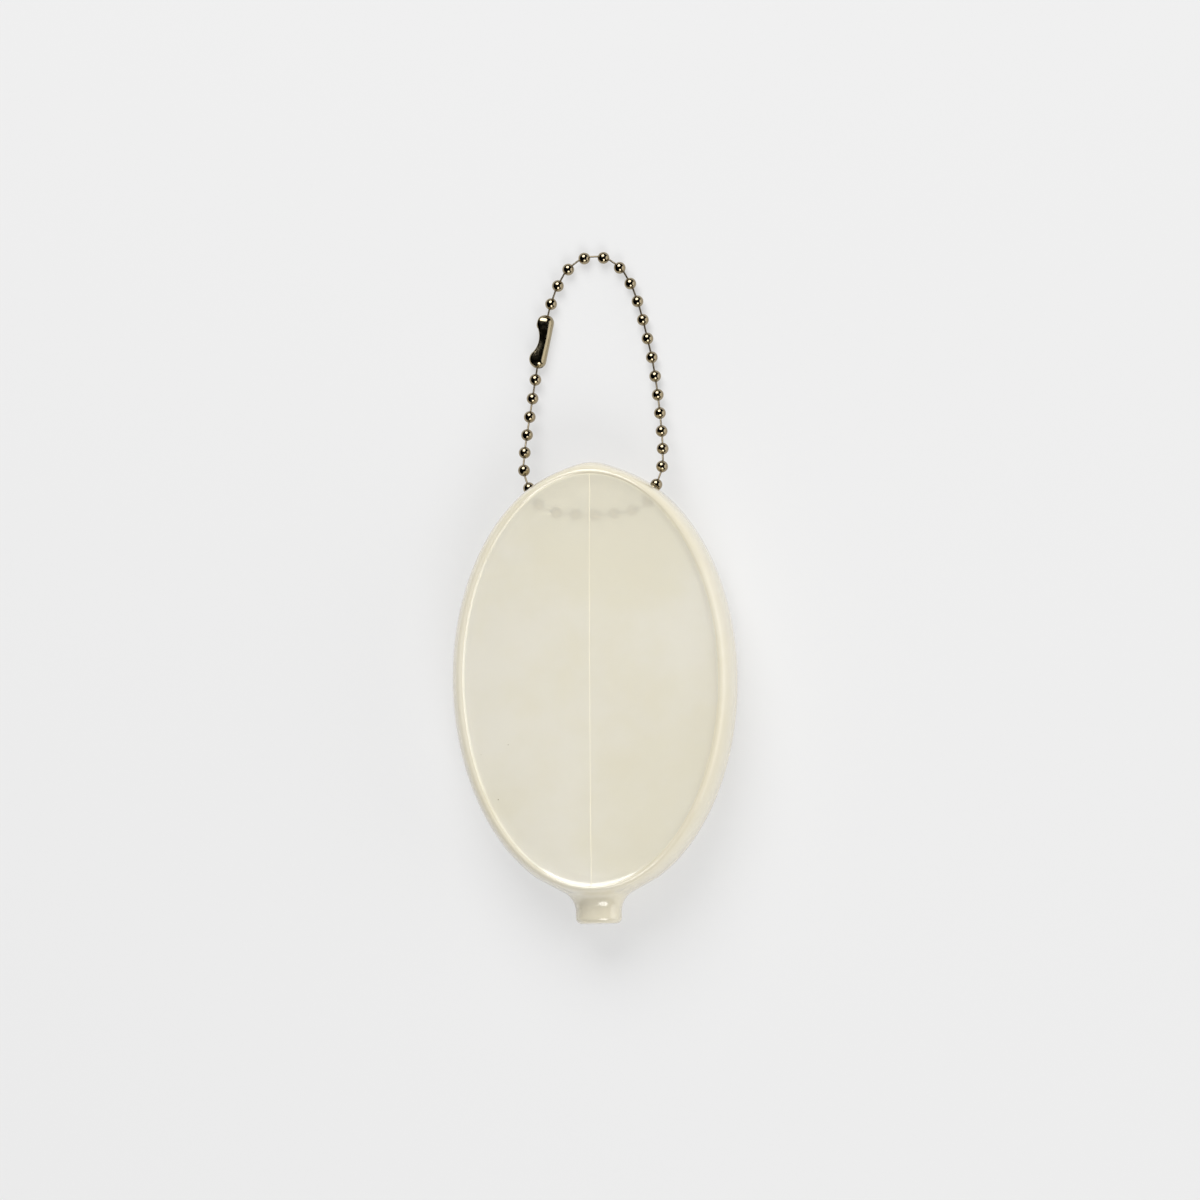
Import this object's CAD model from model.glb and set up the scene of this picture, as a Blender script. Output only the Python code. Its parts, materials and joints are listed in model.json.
# %% [markdown]
# # A squeeze coin pouch on a ball chain
#
# The real pouch is one moulding of soft milky vinyl: a rounded back, a rim, a front panel that is
# slit from end to end, and the stub where the moulding was cut from its runner. A loop of ball
# chain goes in and out through two holes in the wall, and a small folded clasp closes the loop.
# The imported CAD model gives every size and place. This script dresses it, piece by piece.

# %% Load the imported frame
import json
import math

import bmesh
import bpy
from mathutils import Matrix, Vector
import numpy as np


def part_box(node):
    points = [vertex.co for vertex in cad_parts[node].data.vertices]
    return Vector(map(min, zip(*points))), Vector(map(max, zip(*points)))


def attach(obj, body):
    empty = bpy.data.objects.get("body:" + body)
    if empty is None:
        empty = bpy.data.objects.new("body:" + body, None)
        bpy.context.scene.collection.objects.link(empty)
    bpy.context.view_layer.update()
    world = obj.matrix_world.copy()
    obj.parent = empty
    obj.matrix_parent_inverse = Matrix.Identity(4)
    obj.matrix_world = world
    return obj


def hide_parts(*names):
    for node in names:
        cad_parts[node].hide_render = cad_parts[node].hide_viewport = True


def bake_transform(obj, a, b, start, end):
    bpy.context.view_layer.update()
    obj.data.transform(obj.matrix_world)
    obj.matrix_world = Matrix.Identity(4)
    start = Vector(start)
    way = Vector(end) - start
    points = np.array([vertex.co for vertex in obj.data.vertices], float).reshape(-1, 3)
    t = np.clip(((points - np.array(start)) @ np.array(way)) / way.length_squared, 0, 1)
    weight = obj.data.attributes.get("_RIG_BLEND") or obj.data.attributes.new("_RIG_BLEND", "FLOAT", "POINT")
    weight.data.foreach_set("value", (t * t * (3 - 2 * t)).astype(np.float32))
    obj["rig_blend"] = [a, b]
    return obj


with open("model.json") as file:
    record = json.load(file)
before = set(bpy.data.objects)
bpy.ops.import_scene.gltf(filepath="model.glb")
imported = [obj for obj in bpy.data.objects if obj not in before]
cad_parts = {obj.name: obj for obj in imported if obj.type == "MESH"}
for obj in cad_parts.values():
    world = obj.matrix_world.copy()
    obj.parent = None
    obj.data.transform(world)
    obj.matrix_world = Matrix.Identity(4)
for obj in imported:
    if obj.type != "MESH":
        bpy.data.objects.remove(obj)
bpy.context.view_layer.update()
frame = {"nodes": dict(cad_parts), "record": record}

# %% [markdown]
# ## Sizes read from the frame
#
# Blender works in metres, and a pouch is small, so sizes are written as millimetres times MM.
# What the frame knows is read from it: the wall's widest line is level with the beads in the
# chain holes, and the two ends are where the shell's box ends, less its peak and its stub.

# %% The main sizes of the pouch
MM = 0.001
PEAK = 0.8 * MM
STUB_OUT = 5 * MM
PEAK_WIDTH = 4.3 * MM


def middle_of(node):
    low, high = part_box(node)
    return (low + high) / 2


shell_low, shell_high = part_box("shell")
HALF_W = shell_high.x
CHAIN_END = shell_high.y - PEAK
STUB_END = -shell_low.y - STUB_OUT
RIM_Z = shell_high.z
WIDEST_Z = middle_of("bead_hole_right").z
WALL = 1.8 * MM
print("half width, chain end, stub end in mm:", [round(v / MM, 2) for v in (HALF_W, CHAIN_END, STUB_END)])

# %% [markdown]
# ## Camera
#
# The photograph looks almost straight down. Some of the right wall shows, and a little of the stub's
# end, so the camera leans a few degrees towards both. A long lens far away keeps the perspective flat, as
# in a catalogue picture. The camera's own up axis follows the chain, with a slight roll.

# %% Camera over the pouch
PHOTO_PIXELS = 1200
PIXEL = 0.2 * MM
FRAME_W = PHOTO_PIXELS * PIXEL
POUCH_MIDDLE_PIXEL = (595.5, 680)
CAMERA_DISTANCE = 1.6
LEAN_RIGHT = math.radians(8.3)
LEAN_DOWN = math.radians(4.8)
ROLL = math.radians(-0.85)


def make_camera():
    data = bpy.data.cameras.new("camera")
    data.sensor_width = 36
    data.lens = data.sensor_width * CAMERA_DISTANCE / FRAME_W
    data.clip_start, data.clip_end = 0.05, 20
    camera = bpy.data.objects.new("camera", data)
    bpy.context.scene.collection.objects.link(camera)
    back = Vector((math.tan(LEAN_RIGHT), -math.tan(LEAN_DOWN), 1)).normalized()
    right = Vector((0, 1, 0)).cross(back).normalized()
    up = back.cross(right)
    turned_right = right * math.cos(ROLL) + up * math.sin(ROLL)
    turned_up = back.cross(turned_right)
    shift_x = (PHOTO_PIXELS / 2 - POUCH_MIDDLE_PIXEL[0]) * PIXEL
    shift_y = (POUCH_MIDDLE_PIXEL[1] - PHOTO_PIXELS / 2) * PIXEL
    aim = Vector((0, 0, WIDEST_Z)) + turned_right * shift_x + turned_up * shift_y
    turn = Matrix((turned_right, turned_up, back)).transposed().to_4x4()
    camera.matrix_world = Matrix.Translation(aim + back * CAMERA_DISTANCE) @ turn
    bpy.context.scene.camera = camera
    return camera


camera = make_camera()
print("camera at", [round(v, 3) for v in camera.location])

# %% [markdown]
# ## Helpers for meshes
#
# Every piece is built with bmesh operators and then written to one object at the origin, with its
# place in its mesh. Rings of points are the pouch's main building block: a ring is extruded, and
# the new ring is moved to its own size and height.


# %% Write a bmesh to a piece
def make_piece(name, bm, material, body, nodes=(), sharp_over=40):
    bmesh.ops.recalc_face_normals(bm, faces=bm.faces)
    mesh = bpy.data.meshes.new(name)
    bm.to_mesh(mesh)
    bm.free()
    for polygon in mesh.polygons:
        polygon.use_smooth = True
    mesh.set_sharp_from_angle(angle=math.radians(sharp_over))
    mesh.materials.append(material)
    piece = bpy.data.objects.new(name, mesh)
    bpy.context.scene.collection.objects.link(piece)
    if body:
        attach(piece, body)
    if nodes:
        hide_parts(*nodes)
    return piece


def new_ring(bm, ring, places):
    """Extrudes a ring of vertices and moves the new one to its places."""
    edges = [ring[i - 1].link_edges for i in range(len(ring))]
    between = [next(e for e in edges[i] if e.other_vert(ring[i - 1]) is ring[i]) for i in range(len(ring))]
    made = bmesh.ops.extrude_edge_only(bm, edges=between)["geom"]
    fresh = set(v for v in made if isinstance(v, bmesh.types.BMVert))
    result = []
    for old in ring:
        result.append(next(e.other_vert(old) for e in old.link_edges if e.other_vert(old) in fresh))
    for vert, place in zip(result, places):
        vert.co = place
    return result


# %% [markdown]
# ## Materials: shared effects
#
# Effects that several finishes use are node groups with named sockets. They give out colours,
# masks and heights that vary over the surface, and the shader itself stays in each material.


# %% Node groups
def start_group(name, inputs, outputs):
    group = bpy.data.node_groups.new(name, "ShaderNodeTree")
    for label, kind, value in inputs:
        socket = group.interface.new_socket(label, in_out="INPUT", socket_type=kind)
        if value is not None:
            socket.default_value = value
    for label, kind in outputs:
        group.interface.new_socket(label, in_out="OUTPUT", socket_type=kind)
    return group, group.nodes.new("NodeGroupInput"), group.nodes.new("NodeGroupOutput")


def add_noise(tree, vector, scale, detail=3.0, roughness=0.5):
    made = tree.nodes.new("ShaderNodeTexNoise")
    made.inputs["Scale"].default_value = scale
    made.inputs["Detail"].default_value = detail
    made.inputs["Roughness"].default_value = roughness
    tree.links.new(vector, made.inputs["Vector"])
    return made.outputs["Fac"]


def add_math(tree, operation, a, b=None, clamp=False):
    made = tree.nodes.new("ShaderNodeMath")
    made.operation = operation
    made.use_clamp = clamp
    for socket, value in zip(made.inputs, (a, b)):
        if isinstance(value, bpy.types.NodeSocket):
            tree.links.new(value, socket)
        elif value is not None:
            socket.default_value = value
    return made.outputs[0]


def add_step(tree, value, low, high, low_out=0.0, high_out=1.0):
    made = tree.nodes.new("ShaderNodeMapRange")
    made.interpolation_type = "SMOOTHSTEP"
    for label, number in zip(("From Min", "From Max", "To Min", "To Max"), (low, high, low_out, high_out)):
        made.inputs[label].default_value = number
    tree.links.new(value, made.inputs["Value"])
    return made.outputs["Result"]


def add_mix(tree, factor, a, b):
    made = tree.nodes.new("ShaderNodeMix")
    made.data_type = "RGBA"
    for label, value in (("Factor_Float", factor), ("A_Color", a), ("B_Color", b)):
        socket = next(s for s in made.inputs if s.identifier == label)
        if isinstance(value, bpy.types.NodeSocket):
            tree.links.new(value, socket)
        else:
            socket.default_value = value
    return next(s for s in made.outputs if s.identifier == "Result_Color")


def milky_cloud_group():
    """Soft clouds in moulded vinyl, with a few dust specks."""
    group, given, result = start_group(
        "milky_cloud",
        [("Vector", "NodeSocketVector", None), ("Light", "NodeSocketColor", (1, 1, 1, 1)),
         ("Deep", "NodeSocketColor", (1, 1, 1, 1)), ("Speck", "NodeSocketColor", (1, 1, 1, 1)),
         ("Speck Share", "NodeSocketFloat", 0.02)],
        [("Color", "NodeSocketColor"), ("Cloud", "NodeSocketFloat"), ("Height", "NodeSocketFloat")])
    vector = given.outputs["Vector"]
    broad = add_noise(group, vector, 34, detail=2)
    fine = add_noise(group, vector, 260, detail=4)
    broad_part = add_math(group, "MULTIPLY", broad, 0.8)
    fine_part = add_math(group, "MULTIPLY", fine, 0.2)
    cloud = add_math(group, "ADD", broad_part, fine_part)
    tone = add_step(group, cloud, 0.36, 0.64)
    clouds = add_mix(group, tone, given.outputs["Light"], given.outputs["Deep"])
    cells = group.nodes.new("ShaderNodeTexVoronoi")
    cells.inputs["Scale"].default_value = 900
    group.links.new(vector, cells.inputs["Vector"])
    split = group.nodes.new("ShaderNodeSeparateColor")
    group.links.new(cells.outputs["Color"], split.inputs["Color"])
    chosen = add_math(group, "LESS_THAN", split.outputs["Red"], given.outputs["Speck Share"])
    dot = add_step(group, cells.outputs["Distance"], 0.06, 0.16, 1.0, 0.0)
    specks = add_math(group, "MULTIPLY", chosen, dot)
    group.links.new(add_mix(group, specks, clouds, given.outputs["Speck"]), result.inputs["Color"])
    group.links.new(tone, result.inputs["Cloud"])
    ripple = add_noise(group, vector, 150, detail=2)
    grain = add_noise(group, vector, 1800, detail=2)
    height = add_math(group, "ADD", ripple, add_math(group, "MULTIPLY", grain, 0.06))
    group.links.new(height, result.inputs["Height"])
    return group


def metal_wear_group():
    """Plating worn thin in patches, with fine scratches."""
    group, given, result = start_group(
        "plating_wear",
        [("Vector", "NodeSocketVector", None), ("Plated", "NodeSocketColor", (1, 1, 1, 1)),
         ("Worn", "NodeSocketColor", (1, 1, 1, 1)), ("Smooth", "NodeSocketFloat", 0.15),
         ("Rough", "NodeSocketFloat", 0.35)],
        [("Color", "NodeSocketColor"), ("Roughness", "NodeSocketFloat"), ("Height", "NodeSocketFloat")])
    vector = given.outputs["Vector"]
    patches = add_step(group, add_noise(group, vector, 700, detail=5, roughness=0.6), 0.45, 0.7)
    plating = add_mix(group, patches, given.outputs["Plated"], given.outputs["Worn"])
    group.links.new(plating, result.inputs["Color"])
    stretch = group.nodes.new("ShaderNodeMapping")
    stretch.inputs["Rotation"].default_value = (0.3, 0.5, 0.7)
    stretch.inputs["Scale"].default_value = (9, 1, 1)
    group.links.new(vector, stretch.inputs["Vector"])
    scratch = add_noise(group, stretch.outputs["Vector"], 1500, detail=3)
    group.links.new(scratch, result.inputs["Height"])
    rough_mix = group.nodes.new("ShaderNodeMix")
    patch_part = add_math(group, "MULTIPLY", patches, 0.7)
    scratch_part = add_math(group, "MULTIPLY", scratch, 0.3)
    dull = add_math(group, "ADD", patch_part, scratch_part, clamp=True)
    group.links.new(dull, rough_mix.inputs["Factor"])
    group.links.new(given.outputs["Smooth"], rough_mix.inputs["A"])
    group.links.new(given.outputs["Rough"], rough_mix.inputs["B"])
    group.links.new(rough_mix.outputs["Result"], result.inputs["Roughness"])
    return group


MILKY_CLOUD = milky_cloud_group()
PLATING_WEAR = metal_wear_group()
print("node groups:", [g.name for g in bpy.data.node_groups])


# %% Start a material
def start_material(name, viewport_color):
    material = bpy.data.materials.new(name)
    material.use_nodes = True
    material.diffuse_color = viewport_color
    tree = material.node_tree
    shader = tree.nodes["Principled BSDF"]
    coordinates = tree.nodes.new("ShaderNodeTexCoord").outputs["Object"]
    return material, tree, shader, coordinates


def place_group(tree, group, vector, **values):
    node = tree.nodes.new("ShaderNodeGroup")
    node.node_tree = group
    tree.links.new(vector, node.inputs["Vector"])
    for label, value in values.items():
        node.inputs[label.replace("_", " ")].default_value = value
    return node


def add_bump(tree, shader, height, strength, distance):
    bump = tree.nodes.new("ShaderNodeBump")
    bump.inputs["Strength"].default_value = strength
    bump.inputs["Distance"].default_value = distance
    tree.links.new(height, bump.inputs["Height"])
    tree.links.new(bump.outputs["Normal"], shader.inputs["Normal"])


# %% [markdown]
# ## Vinyl
#
# Soft vinyl is milky: it is cream to the eye, and what lies right behind it shows through as a blur.
# A share of the surface therefore transmits through a rough interface, more of it in the thin front
# panel than in the wall, and the rest is cream. Seen at a slant, the wall has more vinyl behind each
# point, so its colour goes deeper there. The gloss on top is sharper and comes from a coat. The
# clouds and specks are object-space noise.
#
# The hidden sides of the wall and the panel are left clear, so that each wall clouds only once. Real
# milky walls also let light into the pouch and out of the cut edges of the slit. These walls don't
# scatter light through, so the hidden sides and the cut edges glow a little in its place.

# %% Vinyl materials
CREAM_LIGHT = (0.86, 0.81, 0.67, 1)
CREAM_DEEP = (0.83, 0.77, 0.6, 1)
PANEL_LIGHT = (0.93, 0.91, 0.83, 1)
PANEL_DEEP = (0.9, 0.87, 0.74, 1)
SPECK = (0.3, 0.26, 0.2, 1)
SLANTED = (0.62, 0.53, 0.34, 1)
EDGE_LIGHT = (0.85, 0.81, 0.68, 1)
EDGE_DEEP = (0.82, 0.77, 0.63, 1)
EDGE_GLOW = 0.65
INNER_GLOW = 0.12
INNER_LIGHT = (0.96, 0.95, 0.9, 1)
INNER_DEEP = (0.94, 0.92, 0.86, 1)
WALL_CLEAR = 0.1
PANEL_CLEAR = 0.42


def make_vinyl(name, light, deep, clear):
    material, tree, shader, coordinates = start_material(name, light)
    cloud = place_group(tree, MILKY_CLOUD, coordinates, Light=light, Deep=deep, Speck=SPECK,
                        Speck_Share=0.004)
    slant = tree.nodes.new("ShaderNodeLayerWeight")
    slant.inputs["Blend"].default_value = 0.5
    deeper = add_step(tree, slant.outputs["Facing"], 0.6, 1.0, 0.0, 0.75)
    tree.links.new(add_mix(tree, deeper, cloud.outputs["Color"], SLANTED), shader.inputs["Base Color"])
    shader.inputs["Roughness"].default_value = 0.2
    shader.inputs["IOR"].default_value = 1.45
    shader.inputs["Transmission Weight"].default_value = clear
    shader.inputs["Coat Weight"].default_value = 1.0
    shader.inputs["Coat Roughness"].default_value = 0.06
    shader.inputs["Coat IOR"].default_value = 1.5
    add_bump(tree, shader, cloud.outputs["Height"], 0.25, 0.2 * MM)
    return material


def make_inner_vinyl(name):
    """The hidden side of the vinyl: clear, with a faint glow for the light that real walls let in."""
    material, tree, shader, coordinates = start_material(name, CREAM_LIGHT)
    ripple = add_noise(tree, coordinates, 150, detail=2)
    tone = add_mix(tree, add_step(tree, ripple, 0.4, 0.6), INNER_LIGHT, INNER_DEEP)
    tree.links.new(tone, shader.inputs["Base Color"])
    tree.links.new(tone, shader.inputs["Emission Color"])
    shader.inputs["Emission Strength"].default_value = INNER_GLOW
    shader.inputs["Roughness"].default_value = 0.15
    shader.inputs["IOR"].default_value = 1.45
    shader.inputs["Transmission Weight"].default_value = 1.0
    return material


def make_edge_vinyl(name):
    """A cut edge of the vinyl, which gives back a little of the light that runs along inside the sheet."""
    material, tree, shader, coordinates = start_material(name, CREAM_DEEP)
    cloud = place_group(tree, MILKY_CLOUD, coordinates, Light=EDGE_LIGHT, Deep=EDGE_DEEP, Speck=SPECK,
                        Speck_Share=0.0)
    tree.links.new(cloud.outputs["Color"], shader.inputs["Base Color"])
    tree.links.new(cloud.outputs["Color"], shader.inputs["Emission Color"])
    shader.inputs["Emission Strength"].default_value = EDGE_GLOW
    shader.inputs["Roughness"].default_value = 0.35
    return material


VINYL = make_vinyl("milky_vinyl", CREAM_LIGHT, CREAM_DEEP, WALL_CLEAR)
PANEL_VINYL = make_vinyl("milky_vinyl_panel", PANEL_LIGHT, PANEL_DEEP, PANEL_CLEAR)
INNER_VINYL = make_inner_vinyl("clear_vinyl_inside")
EDGE_VINYL = make_edge_vinyl("vinyl_cut_edge")
print("vinyl materials ready")

# %% [markdown]
# ## The shell
#
# The shell is the back, the wall and the rim. Its outline is an oval whose two halves have
# different lengths, with a small peak at the chain end. One ring of that outline is drawn at each
# height: up the rounded back, past the widest line, over the rim and down the inside again.

# %% The pouch's outline
RING_POINTS = 144
RIM_SIDE = 3 * MM
RIM_END = 2.2 * MM
END_SHARE = RIM_END / RIM_SIDE
BACK_INSET = 10 * MM
BACK_CUT = 0.4 * MM


def outline(turn, inset, depth, z, peak=0.0):
    """Point of the oval at a turn, drawn in by an inset that shrinks at the ends, and by a depth."""
    end = CHAIN_END if math.sin(turn) > 0 else STUB_END
    x = (HALF_W - inset - depth) * math.cos(turn)
    y = (end - inset * END_SHARE - depth) * math.sin(turn)
    if math.sin(turn) > 0:
        y += peak * PEAK * math.exp(-((x / PEAK_WIDTH) ** 2))
    return Vector((x, y, z))


def outline_ring(inset, depth, z, peak=0.0):
    return [outline(2 * math.pi * i / RING_POINTS, inset, depth, z, peak) for i in range(RING_POINTS)]


# %% [markdown]
# The outside is two quarter ellipses that meet at the widest line. The upper one runs on past its
# top, so that the rim is a rounded bead that leans over towards the panel.

# %% Rings of the outside and the inside
CREST_INSET = 2.45 * MM
CREST_Z = RIM_Z + 0.3 * MM
CREST_TURN = math.radians(102)
FOOT_TURN = math.acos(1 - BACK_CUT / (WIDEST_Z + BACK_CUT))
LOW_STEPS = 14
HIGH_STEPS = 22
FLOOR_SHARES = (0.25, 0.5, 0.75, 0.92)
PANEL_T = 1.8 * MM


def low_station(angle, depth=0.0):
    span = WIDEST_Z + BACK_CUT - depth - (BACK_CUT if depth else 0)
    z = (depth if depth else -BACK_CUT) + span * (1 - math.cos(angle))
    return BACK_INSET * (1 - math.sin(angle)), depth, z, 0.0 if depth else math.sin(angle)


def high_station(angle):
    z = WIDEST_Z + (CREST_Z - WIDEST_Z) * math.sin(angle)
    return CREST_INSET * (1 - math.cos(angle)), 0.0, z, max(0.0, math.cos(angle))


def outer_stations():
    low = [low_station(FOOT_TURN + (math.pi / 2 - FOOT_TURN) * k / LOW_STEPS) for k in range(LOW_STEPS)]
    high = [high_station(CREST_TURN * k / HIGH_STEPS) for k in range(HIGH_STEPS + 1)]
    return low, high


def inner_stations(top_inset, top_z):
    """Down the wall's inside, from under the panel to the floor."""
    reach = top_inset - WALL
    rise = top_z - WIDEST_Z
    high = [(reach * (1 - math.cos(a)), WALL, WIDEST_Z + rise * math.sin(a), 0.0)
            for a in [math.pi / 2 * (1 - k / 8) for k in range(1, 9)]]
    low = [low_station(math.pi / 2 * (1 - k / 10), WALL) for k in range(1, 10)]
    return [(top_inset, 0.0, top_z, 0.0)] + high + low


low_outside, high_outside = outer_stations()
seam_inset, _, SEAM_Z, _ = high_outside[-1]
inside = inner_stations(seam_inset, RIM_Z - PANEL_T)
print("stations:", len(low_outside), len(high_outside), len(inside))
print("seam inset in mm:", round(seam_inset / MM, 2))

# %% Build the shell's skin
FLAT_INSET = low_outside[0][0]


def build_skin():
    bm = bmesh.new()
    inner = bm.verts.layers.int.new("inner")
    ring = bmesh.ops.create_circle(bm, segments=RING_POINTS, radius=HALF_W)["verts"]
    rings = []
    for vert, place in zip(ring, outline_ring(*low_outside[0])):
        vert.co = place
    rings.append(ring)
    for station in low_outside[1:] + high_outside + inside:
        rings.append(new_ring(bm, rings[-1], outline_ring(*station)))
    for ring in rings[-len(inside) - 1:]:
        for vert in ring:
            vert[inner] = 1
    return bm, rings


def close_with_floor(bm, ring, z):
    """Closes a flat end with smaller and smaller rings, so that no face is a huge fan."""
    edge = [v.co.copy() for v in ring]
    for share in reversed(FLOOR_SHARES):
        ring = new_ring(bm, ring, [Vector((p.x * share, p.y * share, z)) for p in edge])
    bm.faces.new(ring)


bm_shell, shell_rings = build_skin()
print("skin:", len(bm_shell.verts), "points in", len(shell_rings), "rings")

# %% [markdown]
# ## The stub
#
# Where the soft vinyl was moulded, a short stub is left at the pouch's end. It is one piece with the
# wall, so it grows out of the shell's own mesh: a patch of faces is taken away, and the edge of the
# hole is extruded as a ring. The first ring still lies on the wall, the next ones make the hollow
# fillet, and the last ones round the cut end.

# %% The wall as a formula
STUB_W = 9.2 * MM
STUB_T = 8.2 * MM
STUB_FILLET = 2.4 * MM
STUB_EDGE = 1.2 * MM
STUB_SQUARE = 0.85
STUB_BULGE = 0.7 * MM


def inset_at(z, depth=0.0):
    if z < WIDEST_Z:
        span = WIDEST_Z + BACK_CUT if depth == 0 else WIDEST_Z - depth
        return BACK_INSET * (1 - math.sqrt(max(0, 1 - ((WIDEST_Z - z) / span) ** 2)))
    rise = (CREST_Z if depth == 0 else RIM_Z - PANEL_T) - WIDEST_Z
    reach = CREST_INSET if depth == 0 else seam_inset - WALL
    return reach * (1 - math.sqrt(max(0, 1 - ((z - WIDEST_Z) / rise) ** 2)))


def wall_y(x, z, end, depth=0.0):
    inset = inset_at(z, depth)
    return (end - inset * END_SHARE - depth) * math.sqrt(max(0, 1 - (x / (HALF_W - inset - depth)) ** 2))


def rounded(value):
    return math.copysign(abs(value) ** STUB_SQUARE, value)


def stub_place(turn, grow, out):
    x = (STUB_W / 2 + grow) * rounded(math.cos(turn))
    z = WIDEST_Z + (STUB_T / 2 + grow) * rounded(math.sin(turn))
    flat = max(0.0, min(1.0, out / STUB_FILLET))
    y = -(1 - flat) * wall_y(x, z, STUB_END) - flat * STUB_END - out
    return Vector((x, y, z))


# %% [markdown]
# A patch of the wall is a block of faces between two stations and between two turns of the ring.
# Its border comes back as a loop of points in order, ready to be extruded.

# %% Cut a patch out of the wall
def cut_patch(bm, rings, first_row, last_row, middle_turn, columns):
    """Deletes a block of faces and returns its border, counter-clockwise as its turns grow."""
    middle = round(middle_turn / (2 * math.pi) * RING_POINTS)
    turns = [(middle + c) % RING_POINTS for c in range(-columns, columns + 1)]
    inside = set()
    for row in range(first_row + 1, last_row):
        inside.update(rings[row][turn] for turn in turns[1:-1])
    bmesh.ops.delete(bm, geom=list(inside), context="VERTS")
    bottom = [rings[first_row][turn] for turn in turns]
    right = [rings[row][turns[-1]] for row in range(first_row + 1, last_row)]
    top = [rings[last_row][turn] for turn in reversed(turns)]
    left = [rings[row][turns[0]] for row in range(last_row - 1, first_row, -1)]
    return bottom + right + top + left


def row_at_height(rings, z, rows):
    return min(rows, key=lambda row: abs(rings[row][0].co.z - z))


# %% Grow the stub out of the wall
STUB_COLUMNS = 10
STUB_LOW_Z = 0.7 * MM
STUB_HIGH_Z = 14.4 * MM
OUTSIDE_ROWS = range(len(low_outside) + len(high_outside))
INSIDE_ROWS = range(len(low_outside) + len(high_outside), len(shell_rings))


def stub_stations():
    fillet = [(STUB_FILLET * (1 - math.sin(a)), STUB_FILLET * (1 - math.cos(a)))
              for a in [math.pi / 2 * k / 9 for k in range(10)]]
    side = [(0.0, STUB_FILLET + (STUB_OUT - STUB_EDGE - STUB_FILLET) * k / 3) for k in (1, 2, 3)]
    edge = [(STUB_EDGE * (math.cos(a) - 1), STUB_OUT - STUB_EDGE * (1 - math.sin(a)))
            for a in [math.pi / 2 * k / 7 for k in range(1, 8)]]
    return fillet + side + edge


def grow_stub(bm, rings):
    low = row_at_height(rings, STUB_LOW_Z, OUTSIDE_ROWS)
    high = row_at_height(rings, STUB_HIGH_Z, range(OUTSIDE_ROWS.stop - 8))
    loop = cut_patch(bm, rings, low, high, 1.5 * math.pi, STUB_COLUMNS)
    half_x = max(abs(v.co.x) for v in loop)
    half_z = (rings[high][0].co.z - rings[low][0].co.z) / 2
    turns = [math.atan2((v.co.z - WIDEST_Z) / half_z, v.co.x / half_x) for v in loop]
    ring = loop
    for grow, out in stub_stations():
        ring = new_ring(bm, ring, [stub_place(turn, grow, out) for turn in turns])
    edge_ring = [v.co.copy() for v in ring]
    centre = Vector((0, -STUB_END - STUB_OUT, WIDEST_Z))
    for share in (0.8, 0.6, 0.4, 0.2):
        ring = new_ring(bm, ring, [centre.lerp(place, share) for place in edge_ring])
    bm.faces.new(ring)
    return len(loop)


print("stub's ring has", grow_stub(bm_shell, shell_rings), "points")

# %% [markdown]
# ## The chain's holes
#
# Two small holes beside the peak let the chain through. Each hole is a patch cut from the outside
# and one cut from the inside, and a short tunnel with a soft edge joins the two.

# %% Cut the chain holes
CHAIN_HOLE_R = 1.6 * MM
HOLE_EDGE = 0.2 * MM
HOLE_ROWS = 4
HOLE_COLUMNS = 3


def hole_ring(bm, loop, centre, end, depth, radius, sink=0.0):
    """Draws a patch's border in to a round hole on the wall."""
    across = Vector((-centre.y / end ** 2, centre.x / HALF_W ** 2, 0)).normalized()
    out = Vector((centre.x / HALF_W ** 2, centre.y / end ** 2, 0)).normalized()
    half_a = max(abs((v.co - centre).dot(across)) for v in loop)
    half_z = max(abs(v.co.z - centre.z) for v in loop)
    places = []
    for v in loop:
        turn = math.atan2((v.co.z - centre.z) / half_z, (v.co - centre).dot(across) / half_a)
        x = centre.x + radius * math.cos(turn) * across.x
        z = centre.z + radius * math.sin(turn)
        places.append(Vector((x, wall_y(x, z, end, depth), z)) + out * sink)
    return new_ring(bm, loop, places)


def edges_of(ring):
    pairs = [(ring[i - 1], ring[i]) for i in range(len(ring))]
    return [next(e for e in a.link_edges if e.other_vert(a) is b) for a, b in pairs]


def cut_chain_hole(bm, rings, bead_middle):
    turn = math.atan2(bead_middle.y / CHAIN_END, bead_middle.x / HALF_W)
    loops = []
    for rows, depth, sink in ((OUTSIDE_ROWS, 0.0, -HOLE_EDGE), (INSIDE_ROWS, WALL, HOLE_EDGE)):
        middle = row_at_height(rings, bead_middle.z, rows)
        first, last = middle - HOLE_ROWS, middle + HOLE_ROWS
        if depth:
            first, last = middle - HOLE_ROWS + 1, middle + HOLE_ROWS - 1
        loop = cut_patch(bm, rings, first, last, turn, HOLE_COLUMNS + (1 if depth else 0))
        flare = hole_ring(bm, loop, bead_middle, CHAIN_END, depth, CHAIN_HOLE_R + HOLE_EDGE)
        half = hole_ring(bm, flare, bead_middle, CHAIN_END, depth, CHAIN_HOLE_R + HOLE_EDGE * 0.3, sink * 0.3)
        loops.append(hole_ring(bm, half, bead_middle, CHAIN_END, depth, CHAIN_HOLE_R, sink))
    bmesh.ops.bridge_loops(bm, edges=edges_of(loops[0]) + edges_of(loops[1]))
    return [len(loop) for loop in loops]


for bead in ("bead_hole_left", "bead_hole_right"):
    print(bead, "hole points outside and inside:", cut_chain_hole(bm_shell, shell_rings, middle_of(bead)))

# %% Close the back and the floor, and make the piece
close_with_floor(bm_shell, shell_rings[0], 0.0)
close_with_floor(bm_shell, shell_rings[-1], WALL)
inner = bm_shell.verts.layers.int["inner"]
for face in bm_shell.faces:
    face.material_index = int(all(v[inner] for v in face.verts))
pouch_shell = make_piece("pouch_shell", bm_shell, VINYL, "pouch", ("shell",))
pouch_shell.data.materials.append(INNER_VINYL)
print("pouch_shell:", len(pouch_shell.data.polygons), "faces")

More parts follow.
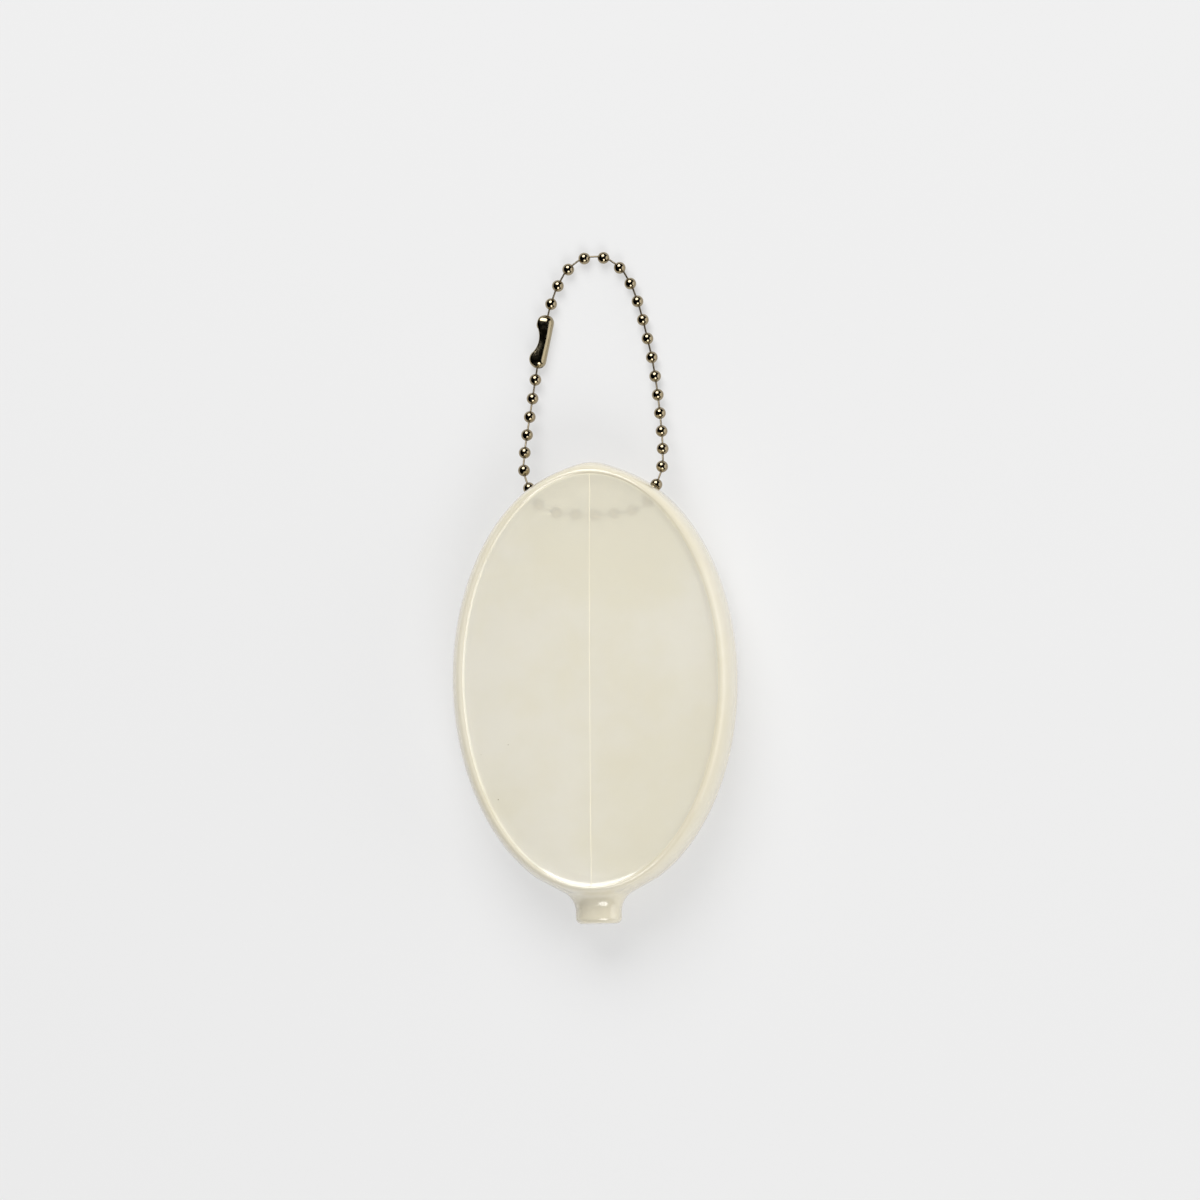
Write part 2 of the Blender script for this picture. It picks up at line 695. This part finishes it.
# %% [markdown]
# ## The front panel
#
# The front is a low dome inside the rim, slit from end to end. Each half is a grid, bent to half an
# oval: its rows follow the oval's turns and its columns run from the slit to the rim. Near the rim
# the panel sweeps up in a soft hollow to meet the rim's inner slope, and its cut edge is rounded.

# %% Shape of the panel
PANEL_DOME = 1.1 * MM
PANEL_FOOT_Z = RIM_Z - 0.4 * MM
SWEEP_SIDE = 2.0 * MM
SWEEP_END = 4.5 * MM
SLIT_GAP = 0.01 * MM
SLIT_ROLL_W = 0.4 * MM
SLIT_ROLL_DROP = 0.035 * MM
PANEL_ROWS = 96
PANEL_COLUMNS = 30
PANEL_LAST_TURN = math.radians(88.8)
panel_half_w = HALF_W - seam_inset


def panel_end(turn):
    return (CHAIN_END if turn > 0 else STUB_END) - seam_inset * END_SHARE


def panel_height(x, y):
    end = panel_end(y)
    rho = math.hypot(x / panel_half_w, y / end)
    toward_end = abs(y / end) / max(rho, 1e-6)
    from_rim = (1 - rho) * math.hypot(x, y) / max(rho, 1e-6) if rho > 1e-6 else panel_half_w
    sweep_w = SWEEP_SIDE + (SWEEP_END - SWEEP_SIDE) * toward_end ** 6
    sweep = max(0.0, 1 - from_rim / sweep_w) ** 3 * (SEAM_Z - PANEL_FOOT_Z)
    return PANEL_FOOT_Z + PANEL_DOME * (1 - rho * rho) + sweep


def slit_drop(x):
    return SLIT_ROLL_DROP * max(0.0, 1 - x / SLIT_ROLL_W) ** 2


def column_share(k):
    """Columns lie close together at the slit and at the rim."""
    share = k / PANEL_COLUMNS
    return 0.5 - 0.5 * math.cos(math.pi * share)


# %% [markdown]
# The grid starts flat, and its points carry their row and column, so that a formula can move each
# one. Its underside is the same grid extruded straight down. A UV map holds each point's flat place
# on the panel, for anyone who wants to print on it. The vinyl's own clouds don't need it.

# %% Make one half of the panel
UV_SPAN = 100 * MM
SLIT_SKEW = 0.01


def slit_x(y):
    """The slit is cut slightly askew."""
    return SLIT_SKEW * y


def make_panel(name, side, body, node):
    bm = bmesh.new()
    bmesh.ops.create_grid(bm, x_segments=PANEL_COLUMNS, y_segments=PANEL_ROWS, size=0.5)
    for v in bm.verts:
        column = round((v.co.x + 0.5) * PANEL_COLUMNS)
        row = round((v.co.y + 0.5) * PANEL_ROWS)
        turn = PANEL_LAST_TURN * (2 * row / PANEL_ROWS - 1)
        border = panel_half_w * math.cos(turn)
        y = panel_end(turn) * math.sin(turn)
        edge = side * slit_x(y) + SLIT_GAP / 2
        x = edge + (border - edge) * column_share(column)
        v.co = (x, y, panel_height(x, y) - slit_drop(x - edge))
    made = bmesh.ops.extrude_face_region(bm, geom=bm.faces[:])["geom"]
    under = [v for v in made if isinstance(v, bmesh.types.BMVert)]
    bmesh.ops.translate(bm, vec=(0, 0, -PANEL_T), verts=under)
    for v in under:
        v.co.z = panel_height(v.co.x, v.co.y) - PANEL_T
    hidden = set(under)
    for face in bm.faces:
        low_points = sum(v in hidden for v in face.verts)
        face.material_index = {0: 0, len(face.verts): 1}.get(low_points, 2)
    bmesh.ops.scale(bm, vec=(side, 1, 1), verts=bm.verts)
    uv = bm.loops.layers.uv.new("place")
    for face in bm.faces:
        for loop in face.loops:
            loop[uv].uv = (0.5 + loop.vert.co.x / UV_SPAN, 0.5 + loop.vert.co.y / UV_SPAN)
    panel = make_piece(name, bm, PANEL_VINYL, None, (node,), sharp_over=50)
    for material in (INNER_VINYL, EDGE_VINYL):
        panel.data.materials.append(material)
    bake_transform(panel, "pouch", body, start=(side * panel_half_w, 0, RIM_Z), end=(0, 0, RIM_Z))
    return panel


# %% [markdown]
# When the ends of the pouch are squeezed, the slit opens as a lens: its middle moves most and its
# ends and the whole border stay put. The blend's share of the turn is written point by point to
# say so, falling from one at the middle to nothing at the border.

# %% Let the slit open as a lens
def bend_as_lens(panel):
    """Writes each point's share of the lip's turn."""
    shares = panel.data.attributes["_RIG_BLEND"].data
    for v, share in zip(panel.data.vertices, shares):
        rho = math.hypot(v.co.x / panel_half_w, v.co.y / panel_end(v.co.y))
        share.value = max(0.0, 1 - rho * rho) ** 1.2


for name, side, body in (("panel_left", -1, "lip_left"), ("panel_right", 1, "lip_right")):
    panel = make_panel(name, side, body, body)
    bend_as_lens(panel)
    top = max(v.co.z for v in panel.data.vertices)
    print(name, "faces:", len(panel.data.polygons), "highest in mm:", round(top / MM, 2))

# %% [markdown]
# ## Metal
#
# The chain and its clasp are plated in a warm dark nickel. What one sees on polished beads is mostly
# the studio, so the metal is smooth, and its wear is a faint change of colour and of gloss.

# %% Metal materials
def make_metal(name, plated, worn, smooth, rough, scratch):
    material, tree, shader, coordinates = start_material(name, plated)
    wear = place_group(tree, PLATING_WEAR, coordinates, Plated=plated, Worn=worn, Smooth=smooth, Rough=rough)
    tree.links.new(wear.outputs["Color"], shader.inputs["Base Color"])
    tree.links.new(wear.outputs["Roughness"], shader.inputs["Roughness"])
    shader.inputs["Metallic"].default_value = 1.0
    add_bump(tree, shader, wear.outputs["Height"], scratch, 0.01 * MM)
    return material


BEAD_METAL = make_metal("dark_nickel_bead", (0.34, 0.28, 0.18, 1), (0.38, 0.31, 0.2, 1), 0.1, 0.22, 0.15)
PIN_METAL = make_metal("drawn_wire", (0.24, 0.2, 0.14, 1), (0.3, 0.25, 0.17, 1), 0.25, 0.4, 0.3)
CLASP_METAL = make_metal("dark_nickel_sheet", (0.36, 0.3, 0.19, 1), (0.4, 0.34, 0.22, 1), 0.12, 0.26, 0.2)
print("metals ready")

# %% [markdown]
# ## Beads and link pins
#
# A bead is a hollow ball rolled from sheet, with two small holes for wire. Each link pin is a short
# wire with a head at either end, and the heads sit inside two neighbouring beads. Both are turned
# shapes: a half outline is drawn along an axis and spun round it. A bead's holes point along the
# chain, which is the mean of the directions to its neighbours.

# %% Chain order and directions
BEAD_R = 1.2 * MM
BEAD_WALL = 0.2 * MM
WIRE_HOLE_R = 0.31 * MM
WIRE_HOLE_EDGE = 0.05 * MM
WIRE_R = 0.19 * MM
HEAD_R = 0.36 * MM
HOLE_MIDDLE = BEAD_R - BEAD_WALL / 2
HEAD_IN = HOLE_MIDDLE - HEAD_R * 1.16
HOLE_BEAD_TURN = 0.7
ROWS = 13
INSIDE_BEADS = 7


def chain_names():
    inside = ["bead_inside_%d" % i for i in range(1, INSIDE_BEADS + 1)]
    right = ["bead_right_%d" % i for i in range(1, ROWS + 1)]
    left = ["bead_left_%d" % i for i in range(ROWS, 0, -1)]
    return inside + ["bead_hole_right"] + right + left + ["bead_hole_left"]


CHAIN = chain_names()
CLASP_GAP = "bead_left_8"
bead_places = {}
for name in CHAIN:
    if name != CLASP_GAP:
        bead_places[name] = middle_of(name)
bead_places[CLASP_GAP] = (bead_places["bead_left_7"] + bead_places["bead_left_9"]) / 2
print("beads in the chain:", len(bead_places) - 1)


def chain_way(name):
    at = CHAIN.index(name)
    here = bead_places[name]
    ahead = bead_places[CHAIN[(at + 1) % len(CHAIN)]] - here
    back = here - bead_places[CHAIN[at - 1]]
    share = {"bead_hole_right": HOLE_BEAD_TURN, "bead_hole_left": 1 - HOLE_BEAD_TURN}.get(name, 0.5)
    return (ahead * share + back * (1 - share)).normalized()


# %% Spin an outline round an axis
def spin_outline(bm, outline, start, way, steps):
    """Spins points (radius, distance along the way) into a closed turned shape."""
    side = way.orthogonal().normalized()
    points = [bm.verts.new(start + way * along + side * radius) for radius, along in outline]
    edges = [bm.edges.new((a, b)) for a, b in zip(points, points[1:])]
    if outline[0] != outline[-1] and outline[0][0] > 0:
        edges.append(bm.edges.new((points[-1], points[0])))
    bmesh.ops.spin(bm, geom=points + edges, cent=start, axis=way, dvec=(0, 0, 0), angle=2 * math.pi,
                   steps=steps, use_merge=True)
    bmesh.ops.remove_doubles(bm, verts=bm.verts, dist=0.002 * MM)


def arc(radius, from_turn, to_turn, steps, middle=0.0):
    """Points of a round stretch, with turns measured from the way the axis points."""
    turns = [from_turn + (to_turn - from_turn) * k / steps for k in range(steps + 1)]
    return [(max(0.0, radius * math.sin(t)), middle + radius * math.cos(t)) for t in turns]


# %% Make the beads
def bead_outline():
    outer_turn = math.asin((WIRE_HOLE_R + WIRE_HOLE_EDGE) / BEAD_R)
    inner_turn = math.asin(WIRE_HOLE_R / (BEAD_R - BEAD_WALL))
    outside = arc(BEAD_R, outer_turn, math.pi - outer_turn, 22)
    edge_in = [(WIRE_HOLE_R, outside[-1][1] + WIRE_HOLE_EDGE)]
    inside = arc(BEAD_R - BEAD_WALL, math.pi - inner_turn, inner_turn, 8)
    edge_out = [(WIRE_HOLE_R, outside[0][1] - WIRE_HOLE_EDGE)]
    return outside + edge_in + inside + edge_out


def body_of_node(node):
    bodies = frame["record"]["behaviour"]["bodies"]
    return next(name for name, nodes in bodies.items() if node in nodes)


def make_bead(name):
    bm = bmesh.new()
    spin_outline(bm, bead_outline(), bead_places[name], chain_way(name), 32)
    return make_piece("ball_" + name[5:], bm, BEAD_METAL, body_of_node(name), (name,))


beads = [make_bead(name) for name in CHAIN if name != CLASP_GAP]
print("beads:", len(beads), "with", len(beads[0].data.polygons), "faces each")

# %% Make the link pins
def add_pin(bm, first, second):
    start = bead_places[first] + chain_way(first) * HOLE_MIDDLE
    end = bead_places[second] - chain_way(second) * HOLE_MIDDLE
    way = (end - start).normalized()
    span = (end - start).length
    neck = math.asin(WIRE_R / HEAD_R)
    tail = arc(HEAD_R, math.pi, neck, 8, -HEAD_IN)
    head = arc(HEAD_R, math.pi - neck, 0, 8, span + HEAD_IN)
    spin_outline(bm, tail + head, start, way, 16)


def pin_pairs(node):
    """The neighbouring beads that the pins of a node join."""
    if node == "link_pin_top":
        return [("bead_right_13", "bead_left_13")]
    number = int(node.rsplit("_", 1)[1])
    if node.startswith("link_pins_inside"):
        first = CHAIN.index("bead_inside_4")
        step = 4 - number
        return [(CHAIN[first + step], CHAIN[first + step + 1]),
                (CHAIN[first - step - 1], CHAIN[first - step])]
    right = ["bead_hole_right"] + ["bead_right_%d" % i for i in range(1, ROWS + 1)]
    pairs = [(right[number - 1], right[number])]
    if number not in (8, 9):
        left = ["bead_hole_left"] + ["bead_left_%d" % i for i in range(1, ROWS + 1)]
        pairs.append((left[number], left[number - 1]))
    return pairs


def make_pins(node):
    bm = bmesh.new()
    for first, second in pin_pairs(node):
        add_pin(bm, first, second)
    return make_piece(node.replace("link_", "wire_"), bm, PIN_METAL, body_of_node(node), (node,))


pin_nodes = sorted(name for name in frame["nodes"] if name.startswith("link_pin"))
pins = [make_pins(node) for node in pin_nodes]
for node, piece in zip(pin_nodes, pins):
    low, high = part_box(node)
    mine = [Vector(v.co) for v in piece.data.vertices]
    off = max(abs(min(v[a] for v in mine) - low[a]) for a in range(3))
    if off > 0.3 * MM:
        print(node, "is off its CAD node by", round(off / MM, 2), "mm")
print("pins:", len(pins), "pieces")

# %% [markdown]
# ## The clasp
#
# The clasp is a strip folded into a trough, with a cup round each end bead and a waist between the
# cups. It opens away from the loop. The sheet is pressed in a little at the waist, so each
# cup takes the light as a dome. It is lofted as a solid of rings, and what the
# fold leaves open is cut away: the pocket, the waist, the mouth of the lower cup, the way out of the
# upper cup and a wire slot at each end.

# %% Clasp sizes and its own directions
CLASP_ROOM = 0.1 * MM
CLASP_SHEET = 0.28 * MM
POCKET_R = BEAD_R + CLASP_ROOM
CLASP_R = POCKET_R + CLASP_SHEET
CUP_REACH = 1.85 * MM
WAIST_REACH = 0.6 * MM
CUP_EDGE = 0.85 * MM
WAIST_PINCH = 0.05
SLOT_W = 0.9 * MM
MOUTH_R = 1.05 * MM
LOWER_SLOT_SHARE = 0.9
clasp_start = bead_places["bead_left_7"]
clasp_span = bead_places["bead_left_9"] - clasp_start
CLASP_L = clasp_span.length
along_clasp = clasp_span.normalized()
out_of_clasp = Vector((-along_clasp.y, along_clasp.x, 0))
CUP_IN = CUP_REACH - CLASP_R
waist_half = CLASP_L / 2 - CUP_IN
WAIST_R = (waist_half ** 2 + WAIST_REACH ** 2 - CUP_REACH ** 2) / (2 * (CUP_REACH - WAIST_REACH))
WAIST_IN = CUP_IN + waist_half * CUP_REACH / (CUP_REACH + WAIST_R)
print("clasp length between beads in mm:", round(CLASP_L / MM, 3), "waist radius:", round(WAIST_R / MM, 2))


def clasp_place(u, v, w):
    return clasp_start + along_clasp * u + out_of_clasp * v + Vector((0, 0, w))


# %% Rings along the clasp
def bar_radius(radius, u):
    return math.sqrt(max(0.0, radius ** 2 - max(0.0, -u, u - CLASP_L) ** 2))


def reach_at(u):
    from_end = min(u, CLASP_L - u)
    if from_end < WAIST_IN:
        return math.sqrt(max(0.0, CUP_REACH ** 2 - (from_end - CUP_IN) ** 2))
    return WAIST_REACH + WAIST_R - math.sqrt(WAIST_R ** 2 - (CLASP_L / 2 - from_end) ** 2)


def trough_ring(u, back_steps=24, edge_steps=8):
    radius, reach = bar_radius(CLASP_R, u), reach_at(u)
    edge = min(CUP_EDGE * radius / CLASP_R, reach / 2)
    half_thick = radius * (1 - WAIST_PINCH * (1 - math.cos(2 * math.pi * u / CLASP_L)))
    places = [(radius * math.cos(a), half_thick * math.sin(a))
              for a in [math.pi / 2 + math.pi * k / back_steps for k in range(back_steps + 1)]]
    for side, first in ((-1, 1.5 * math.pi), (1, 0.0)):
        for k in range(edge_steps + 1):
            a = first + math.pi / 2 * k / edge_steps
            places.append((reach + edge * (math.cos(a) - 1), side * (half_thick - edge) + edge * math.sin(a)))
    return [clasp_place(u, v, w) for v, w in places]


def round_ring(u, radius, steps=48):
    turns = [2 * math.pi * (i + 0.5) / steps for i in range(steps)]
    r = bar_radius(radius, u)
    return [clasp_place(u, r * math.cos(a), r * math.sin(a)) for a in turns]


def release_ring(turn, steps=48):
    places = []
    for i in range(steps):
        a = 2 * math.pi * i / steps
        out = CLASP_L + POCKET_R * math.sin(a)
        places.append(clasp_place(out * math.cos(turn), out * math.sin(turn), POCKET_R * math.cos(a)))
    return places


TIP_TURN = math.radians(82)


def stations(radius, tip_steps, middle_steps):
    tip = [-radius * math.sin(TIP_TURN * (1 - k / tip_steps)) for k in range(tip_steps)]
    half = tip + [CLASP_L / 2 * k / middle_steps for k in range(middle_steps)]
    return half + [CLASP_L - u for u in reversed(half)]


# %% Loft, box and tube as scratch objects for the cuts
def loft(bm, rings):
    ring = bmesh.ops.create_circle(bm, segments=len(rings[0]), radius=MM)["verts"]
    for vert, place in zip(ring, rings[0]):
        vert.co = place
    first = ring
    for places in rings[1:]:
        ring = new_ring(bm, ring, places)
    bm.faces.new(first)
    bm.faces.new(ring)


def box(bm, low, high):
    cube = bmesh.ops.create_cube(bm, size=1)["verts"]
    for v in cube:
        share = v.co + Vector((0.5, 0.5, 0.5))
        v.co = clasp_place(*[a + (b - a) * s for a, b, s in zip(low, high, share)])


def scratch_object(name, bm):
    bmesh.ops.recalc_face_normals(bm, faces=bm.faces)
    mesh = bpy.data.meshes.new(name)
    bm.to_mesh(mesh)
    bm.free()
    mesh.transform(Matrix.Scale(1 / MM, 4))
    made = bpy.data.objects.new(name, mesh)
    bpy.context.scene.collection.objects.link(made)
    return made


def clasp_cutters():
    past = MM
    pocket = bmesh.new()
    loft(pocket, [round_ring(u, POCKET_R) for u in stations(POCKET_R, 12, 1)])
    release = bmesh.new()
    loft(release, [release_ring(math.radians(2 + 38 * k / 12)) for k in range(13)])
    waist = bmesh.new()
    closer = POCKET_R - CLASP_ROOM / 2
    box(waist, (WAIST_IN, 0.03 * MM, -closer), (CLASP_L - WAIST_IN, CUP_REACH + past, closer))
    mouth = bmesh.new()
    mouth_turns = [2 * math.pi * (i + 0.3) / 48 for i in range(48)]
    loft(mouth, [[clasp_place(MOUTH_R * math.cos(a), v, MOUTH_R * math.sin(a)) for a in mouth_turns]
                 for v in (0.02 * MM, CUP_REACH + past)])
    lower = bmesh.new()
    box(lower, (-CLASP_R - past - BEAD_WALL, -POCKET_R * LOWER_SLOT_SHARE, -SLOT_W / 2),
        (-BEAD_WALL, CUP_REACH + past, SLOT_W / 2))
    upper = bmesh.new()
    box(upper, (CLASP_L + BEAD_WALL, -SLOT_W / 2, -SLOT_W / 2),
        (CLASP_L + CLASP_R + past + BEAD_WALL, CUP_REACH + past, SLOT_W / 2))
    names = ("waist", "pocket", "release", "mouth", "lower_slot", "upper_slot")
    return [scratch_object(n, bm) for n, bm in zip(names, (waist, pocket, release, mouth, lower, upper))]


# %% [markdown]
# The cuts are Boolean modifiers. The scratch objects are a thousand times too large, because exact
# cuts lose small details in metres. Their result is written back to one mesh at its real size, and
# the scratch objects go away.

# %% Cut the clasp
def cut_with(target, cutters):
    for cutter in cutters:
        cut = target.modifiers.new("cut_" + cutter.name, "BOOLEAN")
        cut.operation = "DIFFERENCE"
        cut.solver = "EXACT"
        cut.object = cutter
    graph = bpy.context.evaluated_depsgraph_get()
    result = bpy.data.meshes.new_from_object(target.evaluated_get(graph))
    for scratch in [target] + cutters:
        bpy.data.objects.remove(scratch, do_unlink=True)
    result.transform(Matrix.Scale(MM, 4))
    return result


def make_clasp():
    bm = bmesh.new()
    loft(bm, [trough_ring(u) for u in stations(CLASP_R, 12, 24)])
    result = cut_with(scratch_object("trough", bm), clasp_cutters())
    bm = bmesh.new()
    bm.from_mesh(result)
    bpy.data.meshes.remove(result)
    bmesh.ops.remove_doubles(bm, verts=bm.verts, dist=0.004 * MM)
    return make_piece("folded_clasp", bm, CLASP_METAL, "clasp", ("clasp",), sharp_over=35)


clasp = make_clasp()
print("clasp:", len(clasp.data.polygons), "faces")

# %% [markdown]
# ## Floor and light
#
# The pouch lies on a plain pale floor. Two soft boxes light it, a large one from beyond the chain's
# loop and a smaller one from the stub's side, which is where the beads in the photograph show them.
# Both stand so far to the side that the flat front panel doesn't mirror them. A dim card at the right
# fills in the right wall. The floor is partly lit by itself, so that it stays even, but it keeps a
# soft shadow under the pouch. The world is seen by the camera and through the vinyl at the floor's
# tone. It only lights the pouch dimly, and the metal doesn't mirror it.

# %% Floor
FLOOR_TONE = 0.84
FLOOR_OWN_SHARE = 0.6


def make_floor():
    bm = bmesh.new()
    bmesh.ops.create_grid(bm, x_segments=1, y_segments=1, size=3)
    bmesh.ops.translate(bm, vec=(0, 0, -0.02 * MM), verts=bm.verts)
    material = bpy.data.materials.new("pale_floor")
    material.use_nodes = True
    tree = material.node_tree
    tree.nodes.clear()
    output = tree.nodes.new("ShaderNodeOutputMaterial")
    diffuse = tree.nodes.new("ShaderNodeBsdfDiffuse")
    diffuse.inputs["Color"].default_value = (FLOOR_TONE, FLOOR_TONE, FLOOR_TONE, 1)
    glow = tree.nodes.new("ShaderNodeEmission")
    glow.inputs["Color"].default_value = (FLOOR_TONE, FLOOR_TONE, FLOOR_TONE, 1)
    path = tree.nodes.new("ShaderNodeLightPath")
    seen = add_math(tree, "MAXIMUM", path.outputs["Is Camera Ray"], path.outputs["Is Glossy Ray"])
    seen = add_math(tree, "MAXIMUM", seen, path.outputs["Is Transmission Ray"])
    mix = tree.nodes.new("ShaderNodeMixShader")
    tree.links.new(add_math(tree, "MULTIPLY", seen, FLOOR_OWN_SHARE), mix.inputs[0])
    tree.links.new(diffuse.outputs[0], mix.inputs[1])
    tree.links.new(glow.outputs[0], mix.inputs[2])
    tree.links.new(mix.outputs[0], output.inputs["Surface"])
    mesh = bpy.data.meshes.new("floor")
    bm.to_mesh(mesh)
    bm.free()
    mesh.materials.append(material)
    floor = bpy.data.objects.new("floor", mesh)
    bpy.context.scene.collection.objects.link(floor)
    return floor


floor = make_floor()
print("floor at", round(floor.data.vertices[0].co.z / MM, 3), "mm")

# %% Soft boxes and world
LIGHT_DISTANCE = 1.2
WORLD_DIM = 0.22
camera_turn = camera.matrix_world.to_3x3()


def soft_box(name, image_way, off_axis, spread, radiance):
    """A round lamp seen from the pouch at an angle off the camera's axis, with an angular width."""
    aside = math.sin(off_axis)
    way = camera_turn @ Vector((image_way[0] * aside, image_way[1] * aside, math.cos(off_axis)))
    data = bpy.data.lights.new(name, "AREA")
    data.shape = "DISK"
    data.size = 2 * LIGHT_DISTANCE * math.tan(spread / 2)
    area = math.pi * (data.size / 2) ** 2
    data.energy = radiance * area * math.pi
    lamp = bpy.data.objects.new(name, data)
    bpy.context.scene.collection.objects.link(lamp)
    turn = way.to_track_quat("Z", "Y").to_matrix().to_4x4()
    lamp.matrix_world = Matrix.Translation(way * LIGHT_DISTANCE) @ turn
    return lamp


soft_box("large_soft_box", (-0.28, 0.96), math.radians(52), math.radians(42), 5.4)
soft_box("small_soft_box", (0.2, -0.98), math.radians(40), math.radians(31), 5.2)
soft_box("fill_card", (1.0, 0.05), math.radians(72), math.radians(60), 1.4)


def make_world(dim, pale):
    """A dim studio, which the camera and what is seen through the vinyl take as pale as the floor."""
    world = bpy.data.worlds.new("dim_studio")
    bpy.context.scene.world = world
    world.use_nodes = True
    tree = world.node_tree
    path = tree.nodes.new("ShaderNodeLightPath")
    seen = add_math(tree, "MAXIMUM", path.outputs["Is Camera Ray"], path.outputs["Is Transmission Ray"])
    strength = add_step(tree, seen, 0, 1, dim, pale)
    tree.links.new(strength, tree.nodes["Background"].inputs["Strength"])
    tree.nodes["Background"].inputs["Color"].default_value = (1, 1, 1, 1)
    world.cycles_visibility.glossy = False


make_world(WORLD_DIM, FLOOR_TONE)
bpy.context.scene.view_settings.view_transform = "Standard"
